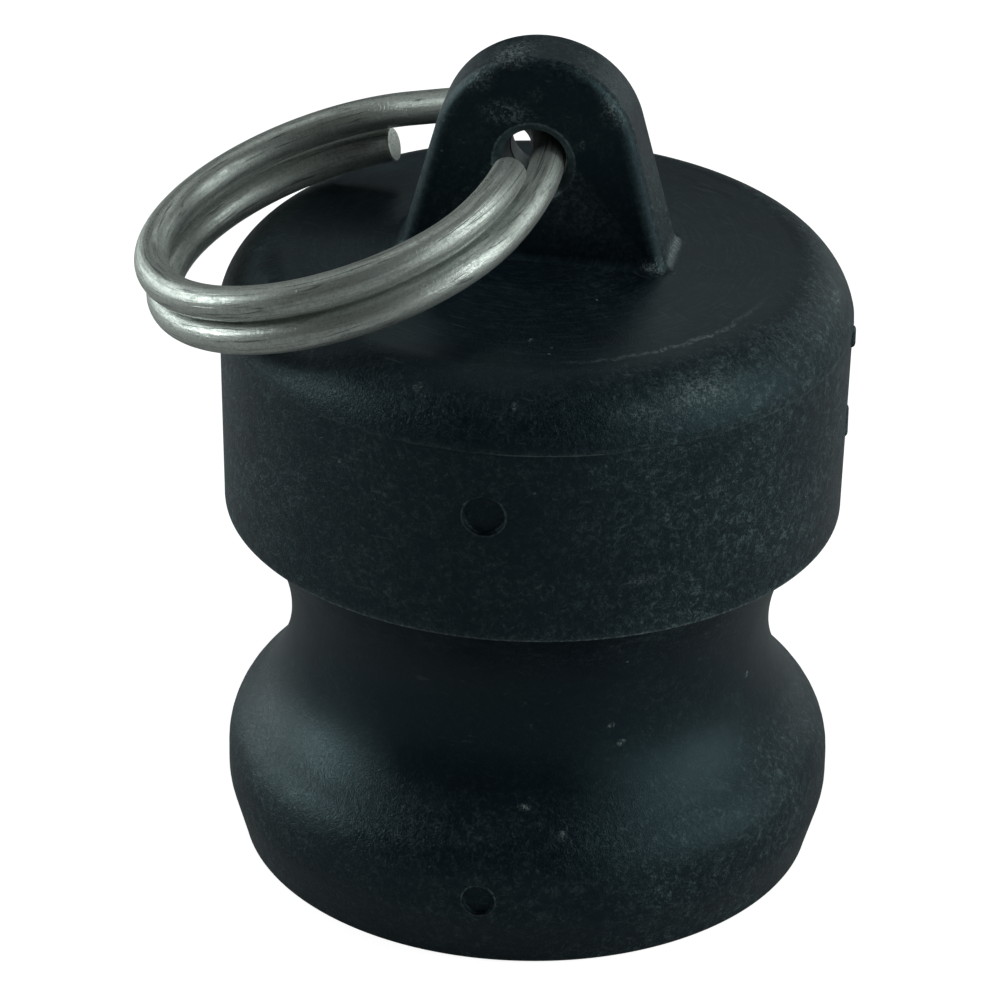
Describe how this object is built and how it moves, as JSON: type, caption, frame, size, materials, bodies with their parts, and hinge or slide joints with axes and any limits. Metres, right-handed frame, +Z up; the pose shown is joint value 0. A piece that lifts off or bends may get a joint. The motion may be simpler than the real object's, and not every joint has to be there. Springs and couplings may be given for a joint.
{
  "type": "camlock dust plug",
  "caption": "Male camlock dust plug with a round cam groove, a plain head and an eyed lug carrying a swinging split ring.",
  "frame": {"origin": "centre of the bounding box on the tip face's plane, on which the plug stands", "axes": "+Z up along the plug's axis from the tip face to the lug, Y along the lug's hole with -Y towards the side that the picture shows, -X towards the side the ring lies on"},
  "size_m": [0.041, 0.0366, 0.0504],
  "materials": {
    "plug_body": "black moulded polypropylene with a fine mottled grain",
    "split_ring": "dull grey drawn wire with lengthwise streaks"
  },
  "bodies": {
    "plug": {"plug_body": "plug_body"},
    "ring": {"split_ring": "split_ring"}
  },
  "joints": [
    {"name": "ring_swing", "type": "hinge", "parent": "plug", "child": "ring", "pos_m": [0.00213, 0, 0.04417], "axis": [0, 1, 0], "range_deg": [0, 215]}
  ]
}
